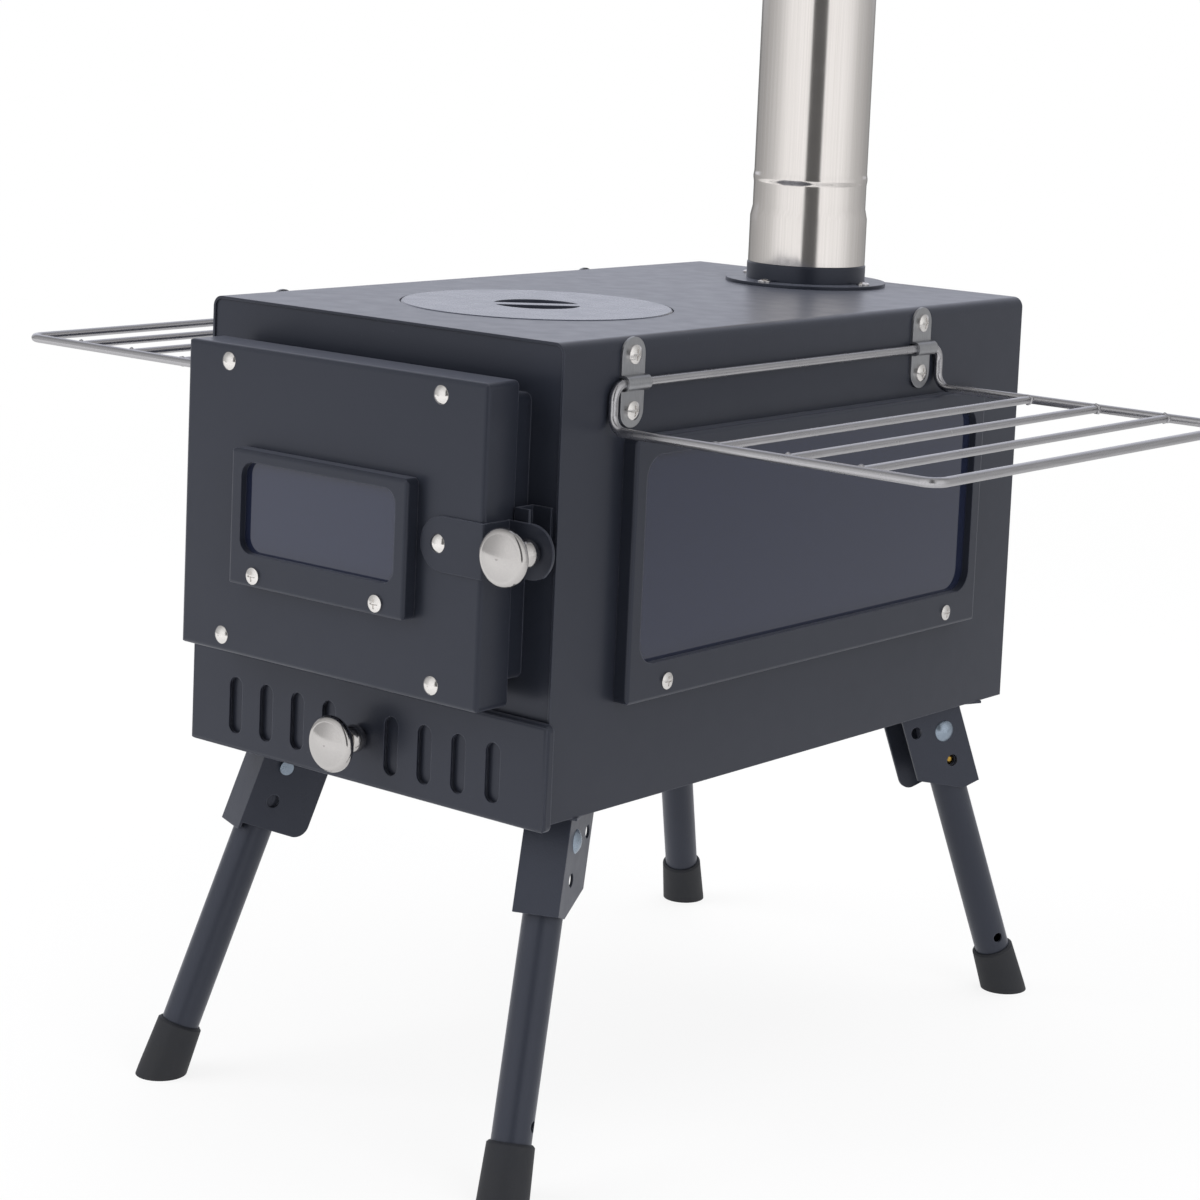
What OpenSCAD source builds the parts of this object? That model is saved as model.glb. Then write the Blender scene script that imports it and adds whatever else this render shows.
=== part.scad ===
// Camping wood stove: a folded-sheet firebox with a hinged door, an ash drawer, glass
// side windows, two swing-up wire racks, folding legs and the first section of its flue.
// Millimetres. The door faces -Y, the feet stand on z = 0 and x = 0 is the middle.

/* [Firebox] */
// Width of the firebox
body_w = 250; // [244:1:262]
// Depth of the firebox from front to back
body_d = 430; // [424:1:460]
// Height of the firebox
body_h = 244; // [240:1:256]
// Height of the underside above the ground
stand_h = 190; // [180:1:194]
// Thickness of the folded sheet
sheet = 1.5; // [1.2:0.1:1.6]
// Outer radius of the folded top edges
edge_r = 6; // [4:0.5:8]
// Width of the flanges folded back from the panels
flange_w = 12; // [8:1:16]
// Depth of the end panels' faces behind the shell's edges
panel_in = 0.8; // [0.5:0.1:1.2]

/* [Door] */
// Distance of the door from the firebox's sides
door_in = 18.5; // [17:0.5:21]
// Height of the door
door_h = 165; // [158:1:168]
// Height of the door's lower edge above the underside
door_z = 59.5; // [58:0.5:62]
// Depth of the door pan
door_t = 23; // [21:0.5:25]
// Distance from the door pan's rim back to the front panel
door_stand = 12; // [11:0.5:13]
// Radius of the door pan's corners
door_r = 3; // [2.5:0.5:5]
// Radius of the door pan's folded edge
door_fold = 2.5; // [2:0.5:4]
// Distance of the door rivets from the door's sides
door_rivet_side = 31; // [27:0.5:36]
// Distance of the door rivets from the door's upper and lower edges
door_rivet_in = 9; // [8:0.5:10]

/* [Door window] */
// Distance of the door window's opening from the door's sides
door_win_in = 51.5; // [50.5:0.5:56]
// Height of the door window's opening
door_win_h = 48.7; // [40:0.1:52]
// Height of the opening's lower edge above the underside
door_win_z = 117.2; // [112:0.1:120]
// Frame border at the sides of the opening
door_win_side = 7.8; // [7:0.1:9]
// Frame border above the opening
door_win_top = 6.1; // [6:0.1:9]
// Frame border below the opening
door_win_foot = 17.3; // [16:0.1:19]
// Distance that the frame stands proud of the door
door_win_proud = 8.5; // [7.5:0.1:10]

/* [Latch] */
// Width of the latch strap
strap_w = 28; // [24:1:30]
// Height of the latch shaft above the underside
latch_z = 141.3; // [138:0.1:144]
// Distance of the latch shaft from the door's edge
latch_out = 16.8; // [16:0.1:18]
// Distance of the latch tab's face from the front panel
latch_stand = 17; // [16.5:0.1:17.5]
// Length of the tongue from the shaft's middle to its tip
tongue_l = 14; // [12:0.5:14]

/* [Knobs] */
// Diameter of a knob's head
knob_d = 30; // [26:1:32]
// Diameter of the ball at a knob's foot
knob_ball_d = 15; // [13:1:18]
// Distance from a knob's seat to the middle of its head
knob_stand = 21; // [18:0.5:24]

/* [Ash drawer] */
// Distance that the drawer front reaches past the firebox's sides
drawer_over = 3.5; // [1.5:0.5:4]
// Height of the drawer front
drawer_h = 55.5; // [54:0.5:56]
// Distance that the drawer front hangs below the underside
drawer_hang = 3; // [1:0.5:4]
// Distance from the drawer front's face to the front panel
drawer_proud = 5.5; // [5:0.1:7]
// Number of air slots on each side of the knob
slot_count = 4; // [2:1:4]
// Spacing of the air slots
slot_pitch = 23.3; // [18:0.1:24]
// Width of an air slot
slot_w = 6.5; // [5:0.1:8]
// Length of an air slot
slot_l = 31; // [24:1:32]
// Distance of the ash tray's end from the back of the firebox
tray_end_in = 39; // [24:1:74]

/* [Grate] */
// Height of the grate's upper face above the underside
grate_z = 58; // [57:0.5:62]
// Width of a slot in the grate
grate_slot_w = 8; // [6:0.5:10]
// Width of the lands between the rows of slots in the grate
grate_land = 15; // [12:1:40]

/* [Side windows] */
// Distance of a side frame from the front and from the back
side_frame_in = 50; // [46:1:60]
// Height of a side frame's lower edge above the underside
side_frame_z = 55; // [50:1:60]
// Distance that a side frame stands proud of the firebox
side_proud = 9; // [8:0.1:10]
// Frame border beside a side opening
side_border = 9; // [8:0.5:12]
// Frame border above a side opening
side_top = 9.5; // [8:0.5:12]
// Frame border below a side opening
side_foot = 19.5; // [18:0.5:22]
// Thickness of all the glass
glass_t = 4.5; // [4:0.1:5]

/* [Side racks] */
// Diameter of the rack's bent rod
rack_rod = 5; // [4.5:0.1:5.5]
// Diameter of the rack's cross bars
rack_bar = 4.4; // [4:0.1:5]
// Distance from the pivot rod out to the outer rail
rack_reach = 192.7; // [180:0.1:193]
// Length of the rack along the firebox, between the middles of its arms
rack_l = 299; // [294:1:300]
// Distance of the rack's middle from the front
rack_mid = 186; // [183:1:188]
// Distance of the pivot rod below the top
rack_below = 23; // [22:0.5:24]
// Distance that the arms hang below the pivot rod
rack_drop = 23.5; // [22:0.5:25]
// Radius of the bends to the middle of the rod
rack_bend = 8; // [7:0.5:10]
// Spacing of the cross bars
rack_pitch = 43.3; // [36:0.1:44]
// Distance that a clip's end reaches over the bend of the rack's rod
clip_over_bend = 0.5; // [-5:0.1:0.8]
// Width of a clip
clip_w = 18.5; // [16:0.5:20]
// Height of a clip
clip_h = 46.6; // [40:0.1:47]

/* [Cooking lid] */
// Diameter of the lid
lid_d = 150; // [130:1:156]
// Thickness of the lid
lid_t = 3; // [2.5:0.1:4]
// Distance of the lid's middle from the front
lid_y = 125; // [110:1:140]
// Diameter of the lifting hole in the lid
lid_hole_d = 48; // [40:1:54]
// Width of the bar across the lifting hole
lid_bar = 10; // [8:0.5:14]

/* [Flue] */
// Outer diameter of the pipe
pipe_d = 69; // [66:0.5:70]
// Wall of the pipe
pipe_t = 0.8; // [0.6:0.1:1.2]
// Length of the pipe section
pipe_l = 365; // [340:1:400]
// Distance of the flue's middle from the back
flue_in = 50; // [49.5:0.5:54]
// Diameter of the collar's flange
flange_d = 98; // [96:0.5:98.5]
// Height of the collar's black ring above the top
collar_h = 9; // [7:0.5:12]

/* [Legs] */
// Diameter of a leg tube
leg_d = 21; // [19:0.5:22]
// Lean of a leg from upright, in degrees
lean = 20.4; // [18:0.1:22]
// Turn of a leg's lean from the front-to-back line, in degrees
splay = 23; // [20:0.5:25]
// Distance of a leg's pivot in from the side
leg_side_in = 24; // [22:0.5:30]
// Distance of a leg's pivot in from the front or back
leg_end_in = 36; // [34:0.5:40]
// Distance of a leg's pivot below the underside
pivot_drop = 18.5; // [18:0.5:20]
// Distance of the lock pin from the pivot
pin_drop = 20; // [19:0.5:21]
// Length of a foot cap on the ground
foot_l = 30; // [24:1:36]

/* [Hidden] */
$fn = 48;

// Signs that name the four corners
left = -1;
right = 1;
front = -1;
back = 1;

// Overrun of every cut past the face that it opens
over = 1;
// Gap between pieces that move past each other
gap = 0.4;
// Gap under a piece that rests on another and slides
rest_gap = 0.3;
// Radial clearance of a shaft in its bore
fit = 0.05;

// Front panel
panel_z = drawer_h - drawer_hang - sheet;
half_w = body_w / 2;
inner_w = body_w - 2 * sheet;
door_w = body_w - 2 * door_in;
door_win_w = door_w - 2 * door_win_in;
drawer_w = body_w + 2 * drawer_over;

// Door
door_face = door_stand + door_t;
door_mid_z = door_z + door_h / 2;
collar_overlap = 4;
collar_y = door_stand + collar_overlap;
collar_in = 2.5;
collar_below = 12.5;
collar_above = 7.5;
collar_w = door_w - 2 * collar_in;
collar_tall = door_h - collar_below - collar_above;
collar_mid_z = door_z + collar_below + collar_tall / 2;
collar_r = 4;
liner_in = 0.5;
liner_y = collar_y + rest_gap;
liner_margin = 4;
rivet_r = 5;
rivet_h = 2.2;
rivet_shank_r = 2.5;
sleeve_r = 4;

// Door hinge
knuckle_r = 3.5;
hinge_pin_r = 2;
hinge_y = 8;
hinge_x = -(door_w / 2 + knuckle_r);
hinge_in = 30;
knuckle_h = 10;
knuckle_end_h = 8;
hinge_h = knuckle_h + 2 * (knuckle_end_h + gap);
leaf_reach = 22;
leaf_foot_w = 11;
leaf_notch = 1;
door_rivet_x = door_w / 2 - door_rivet_side;
pin_head_r = 3.2;
pin_head_h = 1.5;

// Windows
win_corner = 8;
side_corner = 12;
frame_corner = 3;
frame_fold = 2;
glass_grip = 4;
win_mid_z = door_win_z + door_win_h / 2;
win_screw_in = 11;
win_screw_up = 6.4;
side_screw_in = 32.4;
side_screw_up = 8.7;
screw_r = 4.5;
screw_h = 2;
screw_shank_r = 2;
cross_w = 1;
cross_depth = 1;
cross_share = 0.6;

// Latch
latch_x = door_w / 2 + latch_out;
strap_face_w = 40;
strap_rivet_in = 11.4;
strap_tab_out = 30.2;
bend_r = 1;
shaft_r = 3;
tongue_w = 10;
tongue_y = 9.5;
tongue_t = 1.5;
boss_r = 5;
lip_y = 11.5;
keeper_edge = 6.3;
keeper_x = latch_x - tongue_l - rest_gap;
keeper_foot_w = 13.5;
keeper_below = 6.3;
keeper_above = 20;

// Knob
knob_r = knob_d / 2;
knob_rim = 3.2;
knob_neck_r = 4.2;
knob_ball_h = 9.6;
knob_neck_h = 12;
knob_dome_h = 2.2;
stud_r = 2.5;

// Ash drawer
drawer_gap = 0.3;
drawer_r = 4;
drawer_fold = 2.5;
drawer_knob_z = 22.4;
slot_first = 22.6;
slot_mid_z = 22;
tray_t = 1.2;
tray_top = 45;
tray_side_gap = 0.5;

// Grate
grate_t = 2;
grate_in = 2.5;
grate_end_in = 16;
grate_columns = 9;
grate_rows = 3;
rail_w = 12;

// Side racks
rod_r = rack_rod / 2;
bar_r = rack_bar / 2;
rack_x = half_w + rest_gap + rod_r;
rack_z = body_h - rack_below;
arm_z = rack_z - rack_drop;
saddle_fit = 0.1;
saddle_r = rod_r + saddle_fit;
clip_apart = rack_l - 2 * (rack_bend - clip_over_bend) - clip_w;
clip_screw_up = 14.4;
clip_screw_r = 5;
clip_screw_h = 2.6;
bar_count = 3;

// Side windows: their frames end just below the rack's arms
side_over = 2;
side_frame_l = body_d - 2 * side_frame_in;
side_frame_h = arm_z - rod_r - side_over - side_frame_z;
side_open_l = side_frame_l - 2 * side_border;
side_open_h = side_frame_h - side_top - side_foot;
side_mid_y = body_d / 2;
side_mid_z = side_frame_z + side_foot + side_open_h / 2;

// Lid
lid_proud = 0.4;
lid_gap = 0.6;
lid_ledge = 7;
lid_turn = 47;
lid_edge = 0.8;

// Flue
flue_y = body_d - flue_in;
pipe_r = pipe_d / 2;
socket_step = 1.3;
socket_l = 31;
taper_l = 6;
bead_up = 52;
bead_r = 1.8;
spigot_gap = 0.3;
spigot_l = 26;
ring_proud = 0.3;
flange_t = 2;
flue_screw_r = 4;
flue_screw_in = 6.4;

// Legs
leg_r = leg_d / 2;
leg_wall = 1.5;
leg_x = half_w - leg_side_in;
leg_y = leg_end_in;
leg_l = (stand_h - pivot_drop) / cos(lean);
flank_x = leg_r + gap;
web_y = 14.5;
web_l = 40;
lip_h = 1.5;
flank_y = 26;
inner_flank_l = 36;
outer_flank_l = 22;
flank_corner = 8;
pivot_r = 3;
pivot_head_r = 6.5;
pivot_head_h = 2.6;
pivot_tail_r = 4;
pivot_tail_h = 1.8;
pin_r = 3.2;
pin_hole_r = 3.7;
pin_dome_h = 2;
pin_l = 8.6;
pin_head_t = 1.2;
pin_collar_r = 4.2;
foot_r = 12.5;
foot_flare = 1;
foot_sole = 8;
foot_edge = 1.2;
leg_hole_r = 3;
leg_hole_up = 9;
plate_out = 7;
plate_in = 6;
ear_w = 6;

// Middle of the stove's front-to-back reach, from the window screws to the back feet
foot_reach = foot_r + foot_flare;
foot_front = (stand_h - pivot_drop) * tan(lean) * cos(splay) - leg_y
    + foot_reach * sqrt(pow(cos(splay) / cos(lean), 2) + pow(sin(splay), 2));
mid_y = (body_d + foot_front - door_face - door_win_proud - screw_h) / 2;

// Colours of the finishes
black_paint = "#3a3d44";
dark_glass = "#4a4c58";
bright_steel = "#c8c8c4";
pipe_steel = "#b9b5ab";
zinc = "#a9b4c0";
brass = "#b8964a";
rubber = "#26272b";

// Moves a piece from the firebox's corner of reference to where it stands
module standing() translate([0, -mid_y, stand_h]) children();

// Puts a piece of the right side on the side that is named
module on_side(side) mirror([side < 0 ? 1 : 0, 0, 0]) children();

// Puts a piece of the front right corner at the corner that is named
module at_corner(side, end)
    translate([0, body_d / 2, 0])
        mirror([side < 0 ? 1 : 0, 0, 0])
            mirror([0, end > 0 ? 1 : 0, 0])
                translate([0, -body_d / 2, 0]) children();

// Front right leg: its pivot is the origin, it hangs along -Z and leans towards -Y
module on_leg()
    translate([leg_x, leg_y, -pivot_drop])
        rotate([0, 0, splay])
            rotate([-lean, 0, 0]) children();

// An outline seen from the front, made t thick from y0 backwards
module seen_front(y0, t) translate([0, y0 + t, 0]) rotate([90, 0, 0]) linear_extrude(t) children();

// An outline seen from the right side, made t thick from x0 outwards
module seen_side(x0, t) translate([x0, 0, 0]) rotate([90, 0, 90]) linear_extrude(t) children();

// A rectangle with round corners about the origin
module round_rect(w, h, r) {
    square([w - 2 * r, h], center = true);
    square([w, h - 2 * r], center = true);
    for (x = [-1, 1], y = [-1, 1])
        translate([x * (w / 2 - r), y * (h / 2 - r)]) circle(r);
}

// A rectangle that stands on the X axis and has round upper corners
module arch(w, h, r) {
    translate([-w / 2, 0]) square([w, h - r]);
    translate([r - w / 2, 0]) square([w - 2 * r, h]);
    for (x = [-1, 1])
        translate([x * (w / 2 - r), h - r]) circle(r);
}

// A slot with round ends, upright about the origin
module slot(w, l) {
    square([w, l - w], center = true);
    for (y = [-1, 1])
        translate([0, y * (l - w) / 2]) circle(w / 2);
}

// A slab with round corners whose upper edges are folded round
module soft_slab(w, h, t, corner, fold)
    intersection() {
        linear_extrude(t) round_rect(w, h, corner);
        rotate([90, 0, 0]) linear_extrude(h, center = true) arch(w, t, fold);
        rotate([90, 0, 90]) linear_extrude(w, center = true) arch(h, t, fold);
    }

// A pan of folded sheet, open below
module pan(w, h, t, corner, fold)
    difference() {
        soft_slab(w, h, t, corner, fold);
        translate([0, 0, -over])
            soft_slab(w - 2 * sheet, h - 2 * sheet, t - sheet + over, corner - sheet, fold - sheet);
    }

// A dome of base radius a and height h
module dome(a, h) {
    r = (a * a + h * h) / (2 * h);
    intersection() {
        translate([0, 0, h - r]) sphere(r);
        cylinder(h = h, r = a);
    }
}

// A pan-head screw that points down from its seat at z = 0
module screw(head_r, head_h, shank_l) {
    difference() {
        union() {
            cylinder(h = head_h / 2, r = head_r);
            translate([0, 0, head_h / 2]) dome(head_r, head_h / 2);
        }
        for (turn = [0, 90])
            rotate([0, 0, turn])
                translate([-head_r * cross_share, -cross_w / 2, head_h - cross_depth])
                    cube([2 * head_r * cross_share, cross_w, cross_depth + over]);
    }
    translate([0, 0, -shank_l]) cylinder(h = shank_l, r = screw_shank_r);
}

// A knob that stands on z = 0, with a stud below its seat
module knob(stud, stud_l) {
    head_top = knob_stand + knob_rim;
    rotate_extrude() {
        polygon([
            [0, 0], [knob_neck_r, 0], [knob_neck_r, knob_neck_h],
            [knob_r - knob_rim, knob_stand - knob_rim], [knob_r - knob_rim, head_top], [0, head_top]
        ]);
        translate([knob_r - knob_rim, knob_stand]) circle(knob_rim);
    }
    intersection() {
        translate([0, 0, knob_ball_h / 2]) sphere(knob_ball_d / 2);
        cylinder(h = knob_ball_h, r = knob_ball_d / 2);
    }
    translate([0, 0, head_top]) dome(knob_r - knob_rim, knob_dome_h);
    translate([0, 0, -stud_l]) cylinder(h = stud_l, r = stud);
}

// A window frame of folded sheet: its back lies on z = 0 and its opening is about the origin
module window_frame(w, h, border, top, foot, proud, corner) {
    full_w = w + 2 * border;
    full_h = h + top + foot;
    difference() {
        union() {
            translate([0, (top - foot) / 2])
                pan(full_w, full_h, proud, frame_corner, frame_fold);
            translate([0, 0, glass_t])
                linear_extrude(proud - glass_t)
                    round_rect(w + 2 * sheet, h + 2 * sheet, corner + sheet);
        }
        translate([0, 0, -over]) linear_extrude(proud + 2 * over) round_rect(w, h, corner);
    }
}

// The places of the door's parts, seen from the front
module on_door_window() translate([0, -door_face, win_mid_z]) rotate([90, 0, 0]) children();
module at_win_screws(z)
    for (x = [-1, 1])
        translate([
            x * (door_win_w / 2 - win_screw_in), win_screw_up - door_win_h / 2 - door_win_foot, z
        ]) children();
module at_door_rivets()
    for (x = [-1, 1], z = [door_z + door_rivet_in, door_z + door_h - door_rivet_in])
        translate([x * door_rivet_x, -door_face, z]) rotate([90, 0, 0]) children();
module at_strap_rivet()
    translate([door_w / 2 - strap_face_w + strap_rivet_in, -door_face - sheet, latch_z])
        rotate([90, 0, 0]) children();
module at_hinges()
    for (z = [door_z + hinge_in, door_z + door_h - hinge_in])
        translate([hinge_x, -hinge_y, z]) children();
module on_shaft(y) translate([latch_x, -y, latch_z]) rotate([90, 0, 0]) children();

// The places of a side window's parts and a rack's clips, on the right side
module on_side_window() translate([half_w, side_mid_y, side_mid_z]) rotate([90, 0, 90]) children();
module at_side_screws(z)
    for (x = [-1, 1])
        translate([
            x * (side_frame_l / 2 - side_screw_in), side_screw_up - side_open_h / 2 - side_foot, z
        ]) children();
module at_clips()
    for (y = [rack_mid - clip_apart / 2, rack_mid + clip_apart / 2])
        translate([0, y, rack_z]) children();
module at_clip_screws(x)
    at_clips()
        for (z = [-1, 1])
            translate([x, 0, z * clip_screw_up]) rotate([0, 90, 0]) children();
module at_flue_screws(z)
    for (turn = [0, 90, 180, 270])
        translate([0, flue_y, z]) rotate([0, 0, turn])
            translate([flange_d / 2 - flue_screw_in, 0, 0]) children();

// The air slots, seen from the front
module air_slots()
    for (side = [-1, 1], i = [0 : slot_count - 1])
        translate([side * (slot_first + i * slot_pitch), slot_mid_z]) slot(slot_w, slot_l);

// Firebox shell: the sheet that makes the top and both sides
module firebox_shell() {
    well_r = lid_d / 2 + lid_gap;
    well_h = lid_t - lid_proud + sheet;
    color(black_paint) standing() difference() {
        union() {
            seen_front(0, body_d) difference() {
                arch(body_w, body_h, edge_r);
                translate([0, -over]) arch(inner_w, body_h - sheet + over, edge_r - sheet);
            }
            translate([0, lid_y, body_h - well_h]) cylinder(h = well_h, r = well_r + sheet);
        }
        translate([0, lid_y, body_h - well_h + sheet]) cylinder(h = well_h, r = well_r);
        translate([0, lid_y, body_h - well_h - over])
            cylinder(h = well_h + 2 * over, r = lid_d / 2 - lid_ledge);
        translate([0, flue_y, body_h - sheet - over])
            cylinder(h = sheet + 2 * over, r = flue_bore_r());
        at_flue_screws(body_h - sheet - over) cylinder(h = sheet + 2 * over, r = screw_shank_r);
        for (side = [left, right]) on_side(side) {
            on_side_window() translate([0, 0, -sheet - over]) linear_extrude(sheet + 2 * over)
                round_rect(side_open_l, side_open_h, side_corner);
            on_side_window() at_side_screws(-sheet - over)
                cylinder(h = sheet + 2 * over, r = screw_shank_r);
            at_clip_screws(half_w - sheet - over) cylinder(h = sheet + 2 * over, r = screw_shank_r);
        }
    }
}

// A panel of the firebox's end, folded back all round, just inside the shell's edge
module end_panel(z) {
    tall = body_h - sheet - z;
    difference() {
        seen_front(panel_in, flange_w) translate([0, z]) arch(inner_w, tall, edge_r - sheet);
        seen_front(panel_in + sheet, flange_w) translate([0, z + sheet])
            arch(inner_w - 2 * sheet, tall - 2 * sheet, edge_r - 2 * sheet);
    }
}

// Front panel: its collar reaches forward into the door pan
module front_panel()
    color(black_paint) standing() difference() {
        union() {
            end_panel(panel_z);
            seen_front(-collar_y, collar_y + panel_in) translate([0, collar_mid_z])
                round_rect(collar_w, collar_tall, collar_r);
        }
        seen_front(-collar_y - over, collar_y + panel_in + sheet + 2 * over)
            translate([0, collar_mid_z])
            round_rect(collar_w - 2 * sheet, collar_tall - 2 * sheet, collar_r - sheet);
    }

// Back panel: closes the firebox down to the base
module back_panel()
    color(black_paint) standing()
        translate([0, body_d, 0]) mirror([0, 1, 0]) end_panel(sheet);

// Base panel: its side flanges guide the ash tray
module base_panel()
    color(black_paint) standing() difference() {
        translate([-inner_w / 2, 0, 0]) cube([inner_w, body_d, flange_w]);
        translate([sheet - inner_w / 2, -over, sheet])
            cube([inner_w - 2 * sheet, body_d + 2 * over, flange_w]);
        translate([-inner_w / 2 - over, body_d - panel_in - flange_w, sheet])
            cube([inner_w + 2 * over, flange_w + panel_in + over, flange_w]);
    }

// Fire grate: a slotted plate that lies on two rails
module fire_grate() {
    plate_w = inner_w - 2 * grate_in;
    plate_l = body_d - 2 * grate_end_in;
    pitch_x = plate_w / (grate_columns + 1);
    pitch_y = (plate_l - grate_land) / grate_rows;
    color(black_paint) standing() difference() {
        translate([-plate_w / 2, grate_end_in, grate_z - grate_t]) cube([plate_w, plate_l, grate_t]);
        for (i = [0 : grate_columns - 1], j = [0 : grate_rows - 1])
            translate([
                (i - (grate_columns - 1) / 2) * pitch_x,
                body_d / 2 + (j - (grate_rows - 1) / 2) * pitch_y,
                grate_z - grate_t - over
            ]) linear_extrude(grate_t + 2 * over) slot(grate_slot_w, pitch_y - grate_land);
    }
}

// Grate rails: an angle on each side wall
module grate_rails()
    color(black_paint) standing() for (side = [left, right]) on_side(side) {
        translate([inner_w / 2 - rail_w, grate_end_in, grate_z - grate_t - sheet])
            cube([rail_w, body_d - 2 * grate_end_in, sheet]);
        translate([inner_w / 2 - sheet, grate_end_in, grate_z - grate_t - rail_w])
            cube([sheet, body_d - 2 * grate_end_in, rail_w]);
    }

// Latch keeper: a bracket on the front panel whose lip holds the turned tongue
module latch_keeper()
    color(black_paint) standing()
        translate([keeper_x - sheet, 0, latch_z - keeper_below])
            linear_extrude(keeper_below + keeper_above) {
                translate([0, -lip_y - sheet]) square([sheet, lip_y + sheet + panel_in]);
                translate([0, panel_in - sheet]) square([keeper_foot_w, sheet]);
                translate([0, -lip_y - sheet])
                    square([latch_x - keeper_edge - keeper_x + sheet, sheet]);
            }

// A hinge knuckle about the origin, h tall from z
module knuckle(z, h) translate([0, 0, z]) cylinder(h = h, r = knuckle_r);

// Body hinge leaves: two end knuckles each, with a foot on the front panel
module hinge_leaves_body()
    color(black_paint) standing() at_hinges() difference() {
        for (z = [-hinge_h / 2, hinge_h / 2 - knuckle_end_h]) {
            knuckle(z, knuckle_end_h);
            translate([-knuckle_r, 0, z]) cube([sheet, hinge_y + panel_in, knuckle_end_h]);
            translate([-knuckle_r - leaf_foot_w + sheet, hinge_y + panel_in - sheet, -hinge_h / 2])
                cube([leaf_foot_w, sheet, hinge_h]);
        }
        translate([0, 0, -hinge_h / 2 - over]) cylinder(h = hinge_h + 2 * over, r = hinge_pin_r + fit);
    }

// Door hinge leaves: a middle knuckle each, on the door's left side
module hinge_leaves_door()
    color(black_paint) standing() at_hinges() difference() {
        union() {
            knuckle(-knuckle_h / 2, knuckle_h);
            translate([knuckle_r - sheet, -leaf_reach, -knuckle_h / 2])
                cube([sheet, leaf_reach, knuckle_h]);
            translate([knuckle_r - sheet, -leaf_reach, -hinge_h / 2])
                cube([sheet, leaf_reach - knuckle_r - leaf_notch, hinge_h]);
        }
        translate([0, 0, -knuckle_h / 2 - over])
            cylinder(h = knuckle_h + 2 * over, r = hinge_pin_r + fit);
    }

// Hinge pins: headed at the top
module hinge_pins()
    color(bright_steel) standing() at_hinges() {
        translate([0, 0, -hinge_h / 2]) cylinder(h = hinge_h, r = hinge_pin_r);
        translate([0, 0, hinge_h / 2]) cylinder(h = pin_head_h, r = pin_head_r);
    }

// Door panel: a pan with the window's opening in it
module door_panel()
    color(black_paint) standing() difference() {
        translate([0, -door_stand, door_mid_z]) rotate([90, 0, 0])
            pan(door_w, door_h, door_t, door_r, door_fold);
        on_door_window() translate([0, 0, -sheet - over])
            linear_extrude(sheet + 2 * over) round_rect(door_win_w, door_win_h, win_corner);
        on_door_window() at_win_screws(-sheet - over)
            cylinder(h = sheet + 2 * over, r = screw_shank_r);
        at_door_rivets() translate([0, 0, -sheet - over])
            cylinder(h = sheet + 2 * over, r = rivet_shank_r);
        at_strap_rivet() translate([0, 0, -2 * sheet - over])
            cylinder(h = 2 * sheet + 2 * over, r = rivet_shank_r);
    }

// Door liner: the flat shield that closes on the collar
module door_liner()
    color(black_paint) standing() difference() {
        seen_front(-liner_y - sheet, sheet) translate([0, door_mid_z])
            round_rect(
                door_w - 2 * (sheet + liner_in), door_h - 2 * (sheet + liner_in), door_r - sheet
            );
        seen_front(-liner_y - sheet - over, sheet + 2 * over) translate([0, win_mid_z])
            round_rect(door_win_w + 2 * liner_margin, door_win_h + 2 * liner_margin, win_corner);
        at_door_rivets() translate([0, 0, liner_y - door_face - over])
            cylinder(h = sheet + 2 * over, r = rivet_shank_r);
    }

// Door rivets: domed heads outside, with sleeves that hold the liner off the pan
module door_rivets() {
    through = door_face - liner_y;
    color(bright_steel) standing() at_door_rivets() {
        dome(rivet_r, rivet_h);
        translate([0, 0, -through]) cylinder(h = through, r = rivet_shank_r);
        translate([0, 0, sheet - through]) cylinder(h = through - 2 * sheet, r = sleeve_r);
    }
}

// Door window: frame, glass and the two screws of the frame
module door_window_frame()
    color(black_paint) standing() on_door_window() difference() {
        window_frame(door_win_w, door_win_h, door_win_side, door_win_top, door_win_foot,
            door_win_proud, win_corner);
        at_win_screws(door_win_proud - sheet - over)
            cylinder(h = sheet + 2 * over, r = screw_shank_r);
    }

module door_glass()
    color(dark_glass) standing() on_door_window() linear_extrude(glass_t)
        round_rect(door_win_w + 2 * glass_grip, door_win_h + 2 * glass_grip, win_corner);

module door_window_screws()
    color(bright_steel) standing() on_door_window() at_win_screws(door_win_proud)
        screw(screw_r, screw_h, door_win_proud + sheet);

// Latch strap: lies on the door's face, wraps its edge and turns out as the knob's tab
module latch_strap() {
    edge_x = door_w / 2;
    tab_x = edge_x + strap_tab_out;
    face_x = edge_x - strap_face_w;
    end_r = strap_w / 2;
    color(black_paint) standing() difference() {
        intersection() {
            translate([0, 0, latch_z - strap_w / 2]) linear_extrude(strap_w) {
                translate([face_x, -door_face - sheet]) square([strap_face_w + sheet - bend_r, sheet]);
                translate([edge_x, bend_r - door_face - sheet])
                    square([sheet, door_face + 2 * sheet - bend_r - latch_stand]);
                translate([edge_x, -latch_stand]) square([strap_tab_out, sheet]);
                translate([edge_x + sheet - bend_r, bend_r - door_face - sheet]) circle(bend_r);
            }
            seen_front(-door_face - sheet - over, door_face + over) translate([0, latch_z]) {
                translate([face_x + end_r, -strap_w / 2])
                    square([tab_x - face_x - 2 * end_r, strap_w]);
                translate([face_x + end_r, 0]) circle(end_r);
                translate([tab_x - end_r, 0]) circle(end_r);
            }
        }
        at_strap_rivet() translate([0, 0, -sheet - over])
            cylinder(h = sheet + 2 * over, r = rivet_shank_r);
        on_shaft(latch_stand) translate([0, 0, -sheet - over])
            cylinder(h = sheet + 2 * over, r = shaft_r + fit);
    }
}

module latch_strap_rivet()
    color(bright_steel) standing() at_strap_rivet() {
        dome(rivet_r, rivet_h);
        translate([0, 0, -2 * sheet]) cylinder(h = 2 * sheet, r = rivet_shank_r);
    }

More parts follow.
